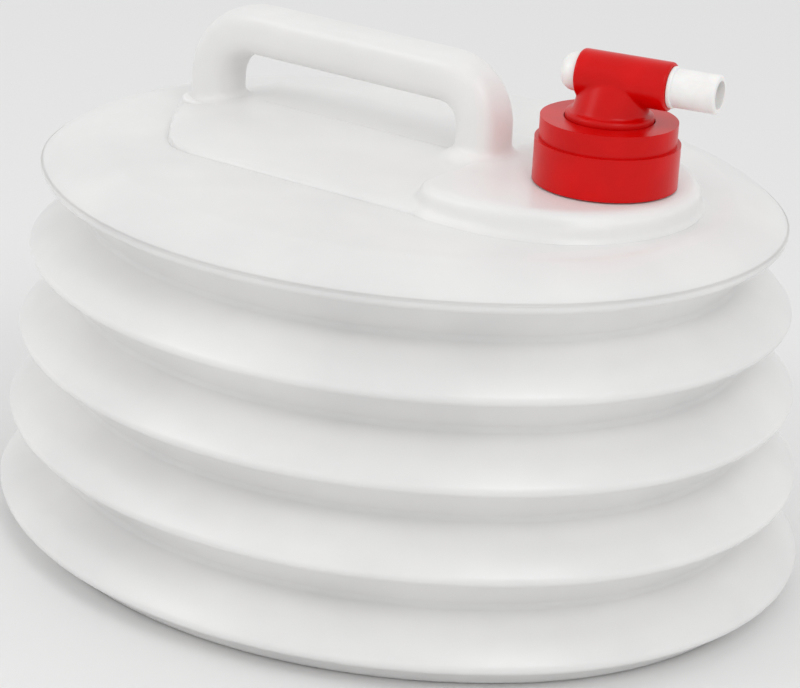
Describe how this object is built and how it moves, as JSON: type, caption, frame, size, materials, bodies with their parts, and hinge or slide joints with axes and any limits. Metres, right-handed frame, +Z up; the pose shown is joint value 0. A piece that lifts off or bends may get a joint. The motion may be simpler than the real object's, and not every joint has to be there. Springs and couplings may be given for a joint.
{
  "type": "collapsible water container",
  "caption": "Oval water bottle with a bellows side that presses flat, a moulded carrying handle, and a screw cap holding a push-pull tap.",
  "frame": {"origin": "centre of the foot ring, on the surface the container stands on", "axes": "+Z up; X along the handle with the neck on the +X side; Y across the handle"},
  "size_m": [0.3402, 0.2984, 0.2165],
  "materials": {
    "bottle_ldpe": "milky translucent blow-moulded low-density polyethylene, satin",
    "red_pp": "glossy injection-moulded polypropylene, red",
    "white_pe": "satin injection-moulded polyethylene, white",
    "washer_rubber": "soft silicone sheet, off-white"
  },
  "bodies": {
    "base": {"base_shell": "bottle_ldpe", "bellows": "bottle_ldpe"},
    "top": {"top_shell": "bottle_ldpe"},
    "seal": {"sealing_washer": "washer_rubber"},
    "tap": {"tap_body": "red_pp"},
    "cap": {"screw_cap": "red_pp"},
    "spout": {"spout": "white_pe"}
  },
  "joints": [
    {"name": "collapse", "type": "slide", "parent": "base", "child": "top", "axis": [0, 0, -1], "range_m": [0, 0.071], "deforming": ["bellows"]},
    {"name": "lift_off", "type": "slide", "parent": "top", "child": "seal", "axis": [0, 0, 1], "range_m": [0, 0.06]},
    {"name": "thread_lift", "type": "slide", "parent": "seal", "child": "tap", "axis": [0, 0, 1], "range_m": [0, 0.0102]},
    {"name": "cap_turn", "type": "hinge", "parent": "tap", "child": "cap", "pos_m": [0.0896, 0, 0.17], "axis": [0, 0, 1], "range_deg": [0, 900]},
    {"name": "spout_push", "type": "slide", "parent": "tap", "child": "spout", "axis": [0.9816, 0.1908, 0], "range_m": [0, 0.0065]}
  ],
  "couplings": [
    {"joint": "thread_lift", "follows": "cap_turn", "m_per_rad": 0.00063662}
  ]
}
